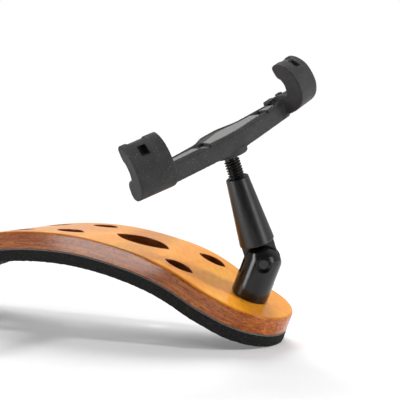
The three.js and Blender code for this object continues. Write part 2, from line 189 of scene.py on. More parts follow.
# A hook's section: outwards from the bar's back, height above its underside.
HOOK_SECTION = [
    (-8, 0.9), (-6.5, 0.3), (0, 0.3), (3.2, 0.8), (5.8, 1.9), (7.7, 3.8), (8.7, 6.6), (8.8, 9.2),
    (8.2, 12.4), (7.1, 15.2), (5.4, 17.4), (3.2, 19), (1, 19.6), (-0.5, 18.6), (-0.2, 16.4),
    (0.5, 14.6), (1.7, 13.4), (2.5, 11.4), (2.6, 9.4), (2.3, 8.2), (1.4, 7.6), (-8, 7.6),
]
# Flat strips of the stiffener that show in the bar's top: (outwards, along the bar).
WINDOWS = [
    [(2.5, -15.9), (-1.6, -14.6), (-2.5, -19.7), (-3.0, -28.1), (0.4, -28.1), (1.5, -21.5)],
    [(3.3, -11.5), (-1.8, -9.3), (-4.9, 1.8), (-4.6, 5.8), (-3.3, 12.8), (-3.0, 19.2), (2.0, 18.8),
     (4.3, 4.5), (4.3, -4.5)],
    [(1.1, 24.2), (-3.1, 24.1), (-3.1, 30.5), (-0.5, 33.0)],
]
# Ramps cut across the bar's top, each down to the blunt end of a strip: start, end, end's skew.
RAMPS = [(-32.5, -28.0, 0.0), (-15.6, -10.0, -0.444), (19.2, 24.2, 0.0)]
RAMP_DEPTH = 1.4
RAMP_INSET = 0.9

# ---- studio ----
CAMERA_AZIMUTH = 29.26
CAMERA_ELEVATION = 3.90
CAMERA_LENS = 93.97
CAMERA_FROM_FOOT = (168.55, -337.34, 60.59)
# Each sun, far off: name, direction of its light, width in degrees, strength.
SUNS = [
    ("right_light", (-0.95, -0.15, -1), 7, 1.4), ("front_light", (-0.3, 0.5, -1), 36, 0.7),
    ("left_light", (0.72, -0.97, -1), 36, 3.8),
]
# Each panel, seen only in reflections: name, place, what it faces, width and height, power.
PANELS = [
    ("left_strip", (-0.30, -0.58, 0.05), (0.08, 0, 0.03), (0.2, 1.1), 6),
    ("right_panel", (0.75, -0.05, 0.15), (0.08, 0, 0.05), (0.25, 0.5), 1.2),
]
FLOOR_LEVELS = [(0.3, (0.56, 0.56, 0.565)), (0.7, (0.59, 0.59, 0.59))]
FLOOR_GLOW = 0.19

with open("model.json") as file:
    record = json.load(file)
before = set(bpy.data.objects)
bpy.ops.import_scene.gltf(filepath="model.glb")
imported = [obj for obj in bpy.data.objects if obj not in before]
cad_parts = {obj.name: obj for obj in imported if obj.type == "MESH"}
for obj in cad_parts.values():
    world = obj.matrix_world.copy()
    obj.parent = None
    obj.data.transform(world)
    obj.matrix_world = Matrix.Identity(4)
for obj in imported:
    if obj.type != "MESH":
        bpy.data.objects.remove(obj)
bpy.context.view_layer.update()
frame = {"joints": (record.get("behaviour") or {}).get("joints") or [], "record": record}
joints = {joint["name"]: joint for joint in frame["joints"]}
mounts = {mount["name"]: mount for mount in frame["record"]["mounts"]}


# ---- frames from the record ----
def frame_at(place, z_axis, y_axis):
    """The matrix of a part's frame, in metres, from its place and two of its axes."""
    z = Vector(z_axis).normalized()
    y = Vector(y_axis)
    y = (y - z * y.dot(z)).normalized()
    matrix = Matrix((y.cross(z), y, z)).transposed().to_4x4()
    matrix.translation = Vector(place)
    return matrix


def foot_frames(side):
    """The frames of one foot: on the plate, at the pivot, along the arm, the rod and the fork."""
    swivel = joints[f"{side}_foot_swivel"]
    fold = joints[f"{side}_foot_fold"]
    lift = joints[f"{side}_fork_height"]
    across = -Vector(fold["axis"])
    seats = [Vector(mounts[f"{side}_{end}_violin_seat"]["pos_m"]) for end in ("near", "far")]
    bar = seats[1] - seats[0]
    outwards = Vector(swivel["pos_m"]).x
    if bar.cross(Vector(lift["axis"])).x * outwards < 0:
        bar.negate()
    return {
        "base": frame_at(swivel["pos_m"], swivel["axis"], across),
        "pivot": frame_at(fold["pos_m"], swivel["axis"], across),
        "arm": frame_at(fold["pos_m"], lift["axis"], across),
        "rod": frame_at(joints[f"{side}_rod_turn"]["pos_m"], lift["axis"], across),
        "fork": frame_at(joints[f"{side}_fork_swivel"]["pos_m"], lift["axis"], bar),
    }


# ---- making pieces ----
def new_object(name, data):
    thing = bpy.data.objects.new(name, data)
    bpy.context.scene.collection.objects.link(thing)
    return thing


def make_piece(name, shape, matrix, body, slot, *replaced):
    """A mesh object from (points, faces, normals) in millimetres, placed by matrix and riding."""
    points, faces, normals = shape[:3]
    turn = np.array(matrix.to_3x3())
    placed = points @ turn.T * MM + np.array(matrix.translation)
    mesh = bpy.data.meshes.new(name)
    mesh.from_pydata(placed.tolist(), [], [list(map(int, face)) for face in faces])
    mesh.update()
    mesh.shade_smooth()
    mesh.normals_split_custom_set_from_vertices((normals @ turn.T).tolist())
    extras = {"local": points, **(shape[3] if len(shape) > 3 else {})}
    for key, values in extras.items():
        kind, field = ("FLOAT_VECTOR", "vector") if values.ndim == 2 else ("FLOAT", "value")
        target = mesh.attributes.new(key, kind, "POINT").data
        target.foreach_set(field, values.astype(np.float32).ravel())
    mesh.materials.append(MATERIALS[slot])
    piece = new_object(name, mesh)
    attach(piece, body)
    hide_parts(*replaced)
    return piece


def moved(shape, matrix):
    """A shape carried by a matrix in millimetres."""
    turn = np.array(matrix.to_3x3())
    return shape[0] @ turn.T + np.array(matrix.translation), shape[1], shape[2] @ turn.T


def unit(vectors):
    lengths = np.linalg.norm(vectors, axis=-1, keepdims=True)
    return vectors / np.maximum(lengths, 1e-9)


# ---- turned parts ----
def rounded_profile(corners, radius, closed):
    """[radius, height] corners with small arcs in them, each point with its outward normal."""
    corners = np.array(corners, float)
    sides = np.roll(corners, -1, 0) - corners
    lengths, along = np.linalg.norm(sides, axis=1), unit(sides)
    slopes = along[:, ::-1] * [1, -1]
    points, normals = [], []
    for i, corner in enumerate(corners):
        if not closed and i in (0, len(corners) - 1):
            points.append(corner)
            normals.append(slopes[min(i, len(corners) - 2)])
            continue
        cut = min(radius, 0.45 * lengths[i - 1], 0.45 * lengths[i])
        start, end = corner - along[i - 1] * cut, corner + along[i] * cut
        for t in (0, 0.33, 0.67, 1):
            points.append((1 - t) ** 2 * start + 2 * t * (1 - t) * corner + t * t * end)
            normals.append(unit((1 - t) * slopes[i - 1] + t * slopes[i]))
    return np.array(points), np.array(normals)


def turned(corners, radius, segments=64, closed=False):
    """A solid of revolution about Z. An open profile starts and ends on the axis."""
    profile, slopes = rounded_profile(corners, radius, closed)
    angles = np.arange(segments) * 2 * math.pi / segments
    ring = np.stack([np.cos(angles), np.sin(angles)], -1)
    points, normals, faces, rows = [], [], [], []
    for (r, z), (nr, nz) in zip(profile, slopes):
        start = sum(len(p) for p in points)
        if r < 1e-6:
            points.append(np.array([[0, 0, z]]))
            normals.append(np.array([[0, 0, 1.0 if nz > 0 else -1.0]]))
            rows.append([start] * segments)
            continue
        points.append(np.column_stack([ring * r, np.full(segments, z)]))
        normals.append(np.column_stack([ring * nr, np.full(segments, nz)]))
        rows.append(list(range(start, start + segments)))
    pairs = list(zip(rows, rows[1:])) + ([(rows[-1], rows[0])] if closed else [])
    for low, high in pairs:
        for face in zip(low, low[1:] + low[:1], high[1:] + high[:1], high):
            faces.append(list(dict.fromkeys(face)))
    return np.concatenate(points), faces, np.concatenate(normals)


def tube(inner, outer, low, high):
    corners = [(inner, low), (outer, low), (outer, high), (inner, high)]
    return turned(corners, 0.08, closed=True)


def across(shape):
    """A turned shape with its axis laid along Y."""
    return moved(shape, Matrix.Rotation(math.pi / 2, 4, "X"))


# ---- carved parts: smooth solids from distance fields ----
def round_or(a, b, radius):
    u, v = np.maximum(radius - a, 0), np.maximum(radius - b, 0)
    return np.maximum(radius, np.minimum(a, b)) - np.hypot(u, v)


def round_and(a, b, radius):
    return -round_or(-a, -b, radius)


def without(a, b, radius):
    return round_and(a, -b, radius)


def slab(value, low, high):
    return np.maximum(low - value, value - high)


def block(place, box, radius):
    """A box with rounded edges, given by its middle and half size."""
    sides = [abs(v - c) - h for v, c, h in zip(place, *box)]
    return round_and(round_and(sides[0], sides[1], radius), sides[2], radius)


def polygon_distance(points, u, v):
    """Signed distance to a closed outline, negative inside."""
    corners = np.array(points, float)
    best = np.full(u.shape, 1e9)
    inside = np.zeros(u.shape, bool)
    for (u0, v0), (u1, v1) in zip(corners, np.roll(corners, -1, 0)):
        du, dv = u1 - u0, v1 - v0
        t = np.clip(((u - u0) * du + (v - v0) * dv) / (du * du + dv * dv), 0, 1)
        best = np.minimum(best, np.hypot(u - u0 - t * du, v - v0 - t * dv))
        crosses = (v0 > v) != (v1 > v)
        if v1 != v0:
            inside ^= crosses & (u < u0 + (v - v0) / (v1 - v0) * du)
    return np.where(inside, -best, best)


def smooth_loop(points, steps=5):
    """A closed Catmull-Rom curve through the points."""
    p = np.array(points, float)
    out = []
    for a, b, c, d in zip(np.roll(p, 1, 0), p, np.roll(p, -1, 0), np.roll(p, -2, 0)):
        for t in np.arange(steps) / steps:
            out.append(0.5 * (2 * b + (c - a) * t + (2 * a - 5 * b + 4 * c - d) * t * t
                              + (3 * b - a - 3 * c + d) * t ** 3))
    return np.array(out)


def outline_field(points, pitch=0.1, margin=3.0):
    low = np.min(points, 0) - margin
    counts = np.ceil((np.max(points, 0) + margin - low) / pitch).astype(int) + 2
    axes = [low[i] + pitch * np.arange(counts[i]) for i in range(2)]
    table = polygon_distance(points, *np.meshgrid(*axes, indexing="ij"))

    def look_up(u, v):
        a = np.clip((u - low[0]) / pitch, 0, counts[0] - 1.001)
        b = np.clip((v - low[1]) / pitch, 0, counts[1] - 1.001)
        i, j = a.astype(int), b.astype(int)
        a, b = a - i, b - j
        return ((table[i, j] * (1 - a) + table[i + 1, j] * a) * (1 - b)
                + (table[i, j + 1] * (1 - a) + table[i + 1, j + 1] * a) * b)

    return look_up


def field_slope(field, points, reach=0.04):
    steps = np.eye(3) * reach
    return np.stack([field(*(points + step).T) - field(*(points - step).T) for step in steps],
                    -1) / (2 * reach)


def surface_net(values):
    """(points, quads) in grid units where the values change sign, a point to each cell crossed."""
    inside = values < 0
    counts = np.array(values.shape)
    totals = np.zeros((*(counts - 1), 3))
    hits = np.zeros(counts - 1)
    crossings = []
    for axis in range(3):
        a, b = (np.take(values, np.arange(counts[axis] - 1) + k, axis) for k in (0, 1))
        at = np.argwhere((a < 0) != (b < 0))
        others = [(axis + 1) % 3, (axis + 2) % 3]
        at = at[np.all((at[:, others] > 0) & (at[:, others] < counts[others] - 1), 1)]
        ends = a[tuple(at.T)], b[tuple(at.T)]
        points = at.astype(float)
        points[:, axis] += ends[0] / (ends[0] - ends[1])
        near = []
        for shift in ((0, 0), (-1, 0), (-1, -1), (0, -1)):
            neighbour = at.copy()
            neighbour[:, others] += shift
            np.add.at(totals, tuple(neighbour.T), points)
            np.add.at(hits, tuple(neighbour.T), 1)
            near.append(neighbour)
        crossings.append((near, inside[tuple(at.T)]))
    used = hits > 0
    number = np.full(hits.shape, -1)
    number[used] = np.arange(used.sum())
    faces = []
    for near, outwards in crossings:
        quads = np.stack([number[tuple(n.T)] for n in near], -1)
        faces.append(np.where(outwards[:, None], quads, quads[:, ::-1]))
    return totals[used] / hits[used][:, None], np.concatenate(faces)


def carved(field, low, high, cell):
    """A quad mesh of the surface where the field is nought, closed where the box holds it all."""
    low, high = np.array(low, float), np.array(high, float)
    counts = np.ceil((high - low) / cell).astype(int) + 1
    axes = [low[i] + cell * np.arange(counts[i]) for i in range(3)]
    points, faces = surface_net(field(*np.meshgrid(*axes, indexing="ij")))
    points = low + cell * points
    for _ in range(5):
        slope = field_slope(field, points)
        steep = np.maximum((slope * slope).sum(-1), 0.05)
        step = -field(*points.T)[:, None] * slope / steep[:, None]
        points = points + np.clip(step, -cell / 2, cell / 2)
    return points, faces, unit(field_slope(field, points))


# ---- the bent plate ----
def bend_tables(step=0.25):
    stations = np.arange(LEFT_END, RIGHT_END + step, step)
    along, slopes = np.array(BEND, float).T
    slope = np.radians(np.interp(stations, along, slopes))
    middle = (slope[1:] + slope[:-1]) / 2
    x = np.concatenate([[0], np.cumsum(step * np.cos(middle))])
    z = np.concatenate([[0], np.cumsum(-step * np.sin(middle))])
    return stations, x - np.interp(0, stations, x), z - np.interp(0, stations, z), slope


BEND_TABLES = bend_tables()


def bent(flat, normals):
    """Carries flat points (along, across, up) and their normals onto the bent plate."""
    stations, xs, zs, slopes = BEND_TABLES
    along, side, up = flat.T
    slope = np.interp(along, stations, slopes)
    x = np.interp(along, stations, xs)
    z = np.interp(along, stations, zs)
    points = np.stack([x + up * np.sin(slope), side, z + up * np.cos(slope)], -1)
    cos, sin = np.cos(slope), np.sin(slope)
    nx, ny, nz = normals.T
    return points, np.stack([nx * cos + nz * sin, ny, nz * cos - nx * sin], -1)


def half_width(along):
    from_end = np.where(along > 0, RIGHT_END - along, along - LEFT_END)
    t = np.clip((from_end - END_ROUND_LENGTH) / (2 * END_ROUND_LENGTH), 0, 1)
    return END_HALF_WIDTH + (PLATE_HALF_WIDTH - END_HALF_WIDTH) * t * t * (3 - 2 * t)


def edge_loop(step):
    """Points round the plate's edge, anticlockwise from above."""
    turns = np.linspace(-math.pi / 2, math.pi / 2, int(END_CURVE_LENGTH / step))[1:-1]
    cap = np.stack([np.cos(turns) * END_ROUND_LENGTH, np.sin(turns) * END_HALF_WIDTH], -1)
    right = cap + [RIGHT_END - END_ROUND_LENGTH, 0]
    left = -cap + [LEFT_END + END_ROUND_LENGTH, 0]
    span = np.linspace(LEFT_END + END_ROUND_LENGTH, RIGHT_END - END_ROUND_LENGTH,
                       int(SIDE_LENGTH / step))
    near = np.stack([span, -half_width(span)], -1)
    far = np.stack([span, half_width(span)], -1)[::-1]
    return np.concatenate([near, right, far, left])


def leaf_loop(leaf, step):
    """Points round a leaf-shaped hole with slightly rounded tips, clockwise from above."""
    along, side, length, angle = leaf
    half = length / 2
    rise = half * LEAF_ASPECT
    radius = (half * half + rise * rise) / (2 * rise)
    centre = radius - rise
    tip = math.sqrt((radius - LEAF_TIP_RADIUS) ** 2 - centre ** 2)
    reach = math.asin(tip / (radius - LEAF_TIP_RADIUS))
    sweep = np.linspace(reach, -reach, max(8, int(length / step)))
    upper = np.stack([radius * np.sin(sweep), radius * np.cos(sweep) - centre], -1)
    nose = np.linspace(-math.pi / 2 + reach, math.pi / 2 - reach, 6)[1:-1]
    point = np.stack([tip + LEAF_TIP_RADIUS * np.cos(nose), LEAF_TIP_RADIUS * np.sin(nose)], -1)
    loop = np.concatenate([point, upper, -point, -upper])
    cos, sin = math.cos(math.radians(angle)), math.sin(math.radians(angle))
    loop = loop @ np.array([[cos, sin], [-sin, cos]])
    return (loop + [along, side])[::-1]


def round_loop(along, radius, points=40):
    angles = -np.arange(points) * 2 * math.pi / points
    return np.stack([along + radius * np.cos(angles), radius * np.sin(angles)], -1)


def loop_normals(loop):
    """Normals out of the material, which lies to the left of the walk round the loop."""
    along = unit(unit(np.roll(loop, -1, 0) - loop) + unit(loop - np.roll(loop, 1, 0)))
    return np.stack([along[:, 1], -along[:, 0]], -1)


def edge_rows(thickness, top_round, bottom_round, inset=0.0, arcs=4):
    """(inset, depth, outward share, upward share) down an edge with rounded corners."""
    turns = [(math.sin(a), math.cos(a)) for a in np.linspace(0, math.pi / 2, arcs + 1)]
    top = [(inset + top_round * (1 - sin), top_round * (1 - cos), sin, cos) for sin, cos in turns]
    bottom = [(inset + bottom_round * (1 - cos), thickness - bottom_round * (1 - sin), cos, -sin)
              for sin, cos in turns]
    return top + bottom


def pocket_rows(thickness):
    """Down the mounting screw's bore and round the pocket for its head, without roundings."""
    step = POCKET_RADIUS - SCREW_BORE_RADIUS
    ceiling = thickness - POCKET_DEPTH
    return [(0.0, 0.0, 1, 0), (0.0, ceiling - 0.02, 1, 0), (0.02, ceiling, 0, -1),
            (step, ceiling, 0, -1), (step, ceiling + 0.02, 1, 0), (step, thickness, 1, 0)]


def between(rings, points, clear):
    """Which points are inside the first ring and outside the others, by more than clear."""
    keep = polygon_distance(rings[0], *points.T) < -clear
    for ring in rings[1:]:
        keep &= polygon_distance(ring, *points.T) > clear
    return keep


def filled(rings, spacing):
    """Triangles between the first ring and the others: (inner points, faces on rings + inner)."""
    low, high = rings[0].min(0), rings[0].max(0)
    rows = []
    for k, y in enumerate(np.arange(low[1] + spacing / 2, high[1], spacing * 0.866)):
        row = np.arange(low[0] + spacing * (k % 2) / 2, high[0], spacing)
        rows.append(np.column_stack([row, np.full(len(row), y)]))
    grid = np.concatenate(rows)
    inner = grid[between(rings, grid, 0.45 * spacing)]
    points = np.concatenate([*rings, inner])
    edges = []
    start = 0
    for ring in rings:
        count = len(ring)
        edges.extend((start + i, start + (i + 1) % count) for i in range(count))
        start += count
    made = delaunay_2d_cdt([Vector(p) for p in points], edges, [], 0, 1e-7)
    source = [origins[0] for origins in made[3]]
    faces = np.array([[source[i] for i in face] for face in made[2]])
    faces = faces[between(rings, points[faces].mean(1), 0)]
    a, b, c = points[faces].transpose(1, 2, 0)
    turn = (b[0] - a[0]) * (c[1] - a[1]) - (b[1] - a[1]) * (c[0] - a[0])
    faces = np.where(turn[:, None] > 0, faces, faces[:, ::-1])
    return inner, faces[abs(turn) > 1e-9]


def plate_layer(top, edges, spacing, roughen=None):
    """One closed layer of the plate. edges holds (loop, rows) for its rim, then for each hole."""
    flat, normals, faces, wall = [], [], [], []
    first, last = [], []
    start = 0
    for number, (loop, rows) in enumerate(edges):
        outward = loop_normals(loop)
        count = len(loop)
        wall_mark = RIM_MARK if number == 0 else HOLE_MARK
        for inset, depth, out, up in rows:
            place = loop - outward * inset
            flat.append(np.column_stack([place, np.full(count, -top - depth)]))
            normals.append(np.column_stack([outward * out, np.full(count, float(up))]))
            wall.append(np.full(count, max(0.0, float(out)) * wall_mark))
        index = start + np.arange(count * len(rows)).reshape(len(rows), count)
        for upper, lower in zip(index, index[1:]):
            right = np.roll(upper, -1), np.roll(lower, -1)
            faces.extend(np.stack([upper, lower, right[1], right[0]], -1).tolist())
        first.append(index[0])
        last.append(index[-1])
        start += count * len(rows)
    points = np.concatenate(flat)
    extra_flat = []
    for rings, up in ((first, 1), (last, -1)):
        ids = np.concatenate(rings)
        inner, triangles = filled([points[ring][:, :2] for ring in rings], spacing)
        height = points[ids[0], 2]
        ids = np.concatenate([ids, start + np.arange(len(inner))])
        faces.extend(ids[triangles[:, ::up]].tolist())
        extra_flat.append(np.column_stack([inner, np.full(len(inner), height)]))
        normals.append(np.tile([0, 0, float(up)], (len(inner), 1)))
        wall.append(np.zeros(len(inner)))
        start += len(inner)
    flat = np.concatenate([points, *extra_flat])
    normals, wall = np.concatenate(normals), np.concatenate(wall)
    if roughen is not None:
        flat = flat + unit(normals) * roughen(flat)[:, None]
    placed, turned_normals = bent(flat, normals)
    return placed, faces, unit(turned_normals), {"flat": flat, "wall": wall}


def leaf_edges(step, rows):
    return [(leaf_loop(leaf, step), rows) for leaf in LEAVES]


# ---- foot shapes, in each part's own frame ----
def clevis_field(x, y, z):
    r = np.hypot(x, y)
    rise = np.maximum(z - DOME_START, 0) / (CLEVIS_TOP - DOME_START)
    outer = (np.hypot(r / CLEVIS_RADIUS, rise) - 1) * CLEVIS_RADIUS
    body = round_and(outer, CLEVIS_FOOT - z, 0.3)
    slot = np.maximum(abs(y) - SLOT_HALF_WIDTH, SLOT_FLOOR - z)
    body = without(body, slot, 0.3)
    from_pin = np.hypot(x, z - PIVOT_HEIGHT)
    body = without(body, from_pin - PIN_RADIUS - PIN_CLEARANCE, 0.1)
    recess = np.maximum(from_pin - PIN_RECESS_RADIUS, PIN_HALF_LENGTH + PIN_CLEARANCE - abs(y))
    body = without(body, recess, 0.22)
    tapped = np.maximum(r - SCREW_RADIUS - TAP_CLEARANCE, z - SCREW_REACH - TAP_OVERRUN)
    return without(body, tapped, 0.1)


def arm_field(x, y, z):
    r = np.hypot(x, y)
    taper = (CONE_BOTTOM_RADIUS - CONE_TOP_RADIUS) / (CONE_TOP - CONE_BOTTOM)
    side = (r - CONE_BOTTOM_RADIUS + taper * (z - CONE_BOTTOM)) * math.cos(math.atan(taper))
    cone = round_and(round_and(side, CONE_BOTTOM - z, 0.35), z - CONE_TOP, 0.35)
    round_end = np.hypot(x, z) - TONGUE_RADIUS
    shank = np.maximum(abs(x) - TONGUE_RADIUS, slab(z, 0, CONE_BOTTOM + 3))
    flat = round_and(np.minimum(round_end, shank), abs(y) - TONGUE_HALF_THICKNESS, 0.25)
    body = np.minimum(cone, flat)
    body = without(body, np.hypot(x, z) - PIN_RADIUS - TONGUE_CLEARANCE, 0.1)
    body = without(body, np.maximum(r - CONE_BORE_RADIUS, CONE_TOP - CONE_BORE_DEPTH - z), 0.1)
    mouth = np.maximum(r - MOUTH_RADIUS, CONE_TOP - MOUTH_DEPTH - z)
    return without(body, mouth, 0.25)


def thread_radius(rows, angles, neck_start):
    """The rod's radius at each height and angle: a helical ridge that fades out at both ends."""
    phase = (rows[:, None] - THREAD_PITCH * angles / (2 * math.pi)) / THREAD_PITCH % 1
    ridge = np.clip(THREAD_CREST - THREAD_FLANK * abs(phase - 0.5), 0, 1)
    start = np.clip((rows + ROD_IN_CONE) / THREAD_LEAD_IN, 0, 1)
    end = np.clip((neck_start - rows) / THREAD_RUN_OUT, 0, 1)
    return ROD_RADIUS - THREAD_DEPTH * (1 - ridge * (start * end)[:, None])


def neck_profile(start, top):
    """(radius, height) up the rod's neck, with the groove that the clip sits in."""
    inner = NECK_RADIUS - GROOVE_DEPTH
    low, high = top - 1.3, top - 0.4
    return [(NECK_RADIUS, start + 0.05), (NECK_RADIUS, low), (inner, low + 0.02),
            (inner, high - 0.02), (NECK_RADIUS, high), (NECK_RADIUS, top - 0.2),
            (NECK_RADIUS - 0.2, top)]


def threaded_rod(neck_top, segments=48, row=0.1):
    """The height screw: a helical thread up to its neck, and a groove for the clip."""
    neck_start = FORK_HEIGHT - BOSS_DEPTH - NECK_LENGTH
    rows = np.arange(-ROD_IN_CONE, neck_start + row / 2, row)
    angles = np.arange(segments) * 2 * math.pi / segments
    ring = np.stack([np.cos(angles), np.sin(angles)], -1)
    radius = thread_radius(rows, angles, neck_start)
    rise = np.gradient(radius, row, axis=0)
    around = np.gradient(np.concatenate([radius, radius[:, :1]], 1), angles[1], axis=1)[:, :-1]
    side = np.stack([-ring[:, 1], ring[:, 0]], -1)
    outward = ring - side * (around / radius)[..., None]
    slopes = unit(np.concatenate([outward, -rise[..., None]], -1))
    neck = np.array(neck_profile(neck_start, neck_top))
    neck_normals = np.column_stack([np.tile(ring, (len(neck), 1)), np.zeros(len(neck) * segments)])
    radius = np.concatenate([radius, np.repeat(neck[:, :1], segments, 1)])
    heights = np.repeat(np.concatenate([rows, neck[:, 1]]), segments)
    wall = np.column_stack([(radius[..., None] * ring).reshape(-1, 2), heights])
    index = np.arange(len(wall)).reshape(-1, segments)
    onward = np.roll(index, -1, 1)
    sides = np.stack([index[:-1], onward[:-1], onward[1:], index[1:]], -1).reshape(-1, 4)
    bottom, top = np.full(segments, len(wall)), np.full(segments, len(wall) + 1)
    ends = np.concatenate([np.stack([onward[0], index[0], bottom], -1),
                           np.stack([index[-1], onward[-1], top], -1)])
    points = np.concatenate([wall, [[0, 0, rows[0]], [0, 0, neck_top]]])
    normals = np.concatenate([slopes.reshape(-1, 3), neck_normals, [[0, 0, -1], [0, 0, 1]]])
    return points, sides.tolist() + ends.tolist(), normals


def mounting_screw():
    head_top = -(WOOD_THICKNESS - POCKET_DEPTH) - WASHER_THICKNESS - 0.1
    bottom = head_top - HEAD_HEIGHT
    key_floor = bottom + KEY_DEPTH
    return turned([(0, key_floor), (KEY_RADIUS, key_floor), (KEY_RADIUS, bottom),
                   (HEAD_RADIUS, bottom), (HEAD_RADIUS, head_top), (SCREW_RADIUS, head_top),
                   (SCREW_RADIUS, SCREW_REACH), (0, SCREW_REACH)], 0.2)


def rod_bush():
    bottom = BUSH_CLEARANCE - BOSS_DEPTH
    flange = CLIP_CHAMBER_FLOOR + BUSH_CLEARANCE
    top = flange + FLANGE_THICKNESS
    inner = NECK_RADIUS + 0.15
    return turned([(inner, bottom), (BUSH_RADIUS, bottom), (BUSH_RADIUS, flange),
                   (BUSH_FLANGE, flange), (BUSH_FLANGE, top), (inner, top)], 0.12, closed=True)


def sweep_at(along):
    """How far forward the bar's back has swept, beyond a nearly straight middle."""
    return (np.hypot(along, BAR_STRAIGHT) - BAR_STRAIGHT) * math.tan(math.radians(BAR_SWEEP))


def hub_swell(along):
    """How far the hub makes the bar's front stand out, easing off along the bar."""
    t = np.clip((1 - abs(along) / HUB_REACH) / (1 - HUB_FLAT), 0, 1)
    return (HUB_RADIUS + BAR_FRONT) * t * t * (3 - 2 * t)


def bar_plan(x, y, ends):
    """Distance to the bar's outline seen from above, given its distance past the bar's ends."""
    back = (x - BAR_BACK + sweep_at(y)) * math.cos(math.radians(BAR_SWEEP))
    front = BAR_FRONT - hub_swell(y) - x
    return round_and(round_and(back, front * 0.93, 0.5), ends, 0.5)


HOOK_OUTLINE = outline_field(smooth_loop(HOOK_SECTION))
WINDOW_OUTLINES = [outline_field(window, margin=1.5) for window in WINDOWS]


def hook_place(x, y, z, hook):
    """A point's place in a hook's frame: outwards, along its width, and up."""
    turn = hook["side"] * math.radians(hook["splay"])
    dx = x - BAR_BACK + sweep_at(hook["root"])
    dy = y - hook["side"] * hook["root"]
    out = math.cos(turn) * dx + math.sin(turn) * dy
    width = hook["side"] * (math.cos(turn) * dy - math.sin(turn) * dx)
    return out, width, z - hook["rise"]


def hook_field(x, y, z, hook):
    place = hook_place(x, y, z, hook)
    out, width, up = place
    section = round_and(HOOK_OUTLINE(out, up), HOOK_FRONT - x, 3.0)
    body = round_and(section, slab(width, HOOK_START, HOOK_WIDTH), 0.55)
    body = round_or(body, block(place, hook["pad"], 0.35), 0.2)
    body = round_or(body, block(place, HOOK_TAB, 0.3), 0.25)
    body = without(body, block(place, HOOK_NOTCH, 0.25), 0.2)
    return without(body, block(place, hook["pocket"], 0.2), 0.2)


def ramp_field(x, y, z, start, end, skew):
    """The cut of a ramp, from flush at its start down to a step under a strip's blunt end."""
    low = end + skew * x
    fall = RAMP_DEPTH * np.clip((y - start) / (low - start), 0, 1)
    cut = np.maximum(slab(y, start, low), BAR_HEIGHT - fall - z)
    return np.maximum(cut, BAR_FRONT + RAMP_INSET - x)


def grip_field(x, y, z):
    ledge = np.clip((z - LEDGE_HEIGHT) / 0.3, 0, 1)
    outline = bar_plan(x, y, slab(y, -NEAR_HOOK["root"], FAR_HOOK["root"] + 2))
    plan = outline + LEDGE_DEPTH * ledge * (x > LEDGE_FRONT)
    body = round_and(plan, slab(z, 0, BAR_HEIGHT), 0.3)
    band = slab(z, RIM_FLOOR, BAR_HEIGHT + RIM_RISE)
    rim = round_and(abs(outline + RIM_INSET) - RIM_HALF_WIDTH, band, 0.2)
    body = round_or(body, np.maximum(rim, x - RIM_BACK), 0.15)
    r = np.hypot(x, y)
    boss = round_and(r - BOSS_RADIUS, slab(z, -BOSS_DEPTH, 1), 0.6)
    body = round_or(body, boss, 0.4)
    for ramp in RAMPS:
        body = without(body, ramp_field(x, y, z, *ramp), 0.12)
    for hook in (NEAR_HOOK, FAR_HOOK):
        body = round_or(body, hook_field(x, y, z, hook), 1.1)
    half = CORE_HALF_LENGTH + CORE_GAP
    pocket = np.maximum(bar_plan(x, y, slab(y, -half, half)) + CORE_INSET - CORE_GAP,
                        slab(z, CORE_FLOOR - CORE_GAP, CORE_TOP + 0.15))
    body = without(body, pocket, 0.1)
    for window in WINDOW_OUTLINES:
        opening = slab(z, CORE_TOP - 0.4, BAR_HEIGHT + 0.5)
        body = without(body, np.maximum(window(x, y), opening), 0.1)
    body = without(body, np.maximum(r - FORK_BORE_RADIUS, z - CLIP_CHAMBER_TOP), 0.1)
    chamber = slab(z, CLIP_CHAMBER_FLOOR, CLIP_CHAMBER_TOP)
    return without(body, np.maximum(r - CLIP_CHAMBER_RADIUS, chamber), 0.1)


def core_field(x, y, z):
    """The stiffener: a plate in the bar with a flat strip up through each window."""
    plan = bar_plan(x, y, slab(y, -CORE_HALF_LENGTH, CORE_HALF_LENGTH)) + CORE_INSET
    body = round_and(plan, slab(z, CORE_FLOOR, CORE_TOP), 0.2)
    rise = slab(z, CORE_TOP - 0.5, BAR_HEIGHT + 0.05)
    for window in WINDOW_OUTLINES:
        body = round_or(body, round_and(window(x, y) + STRIP_GAP, rise, 0.15), 0.1)
    return body


# ---- materials ----
def set_inputs(node, **values):
    for key, value in values.items():
        node.inputs[key.replace("_", " ")].default_value = value


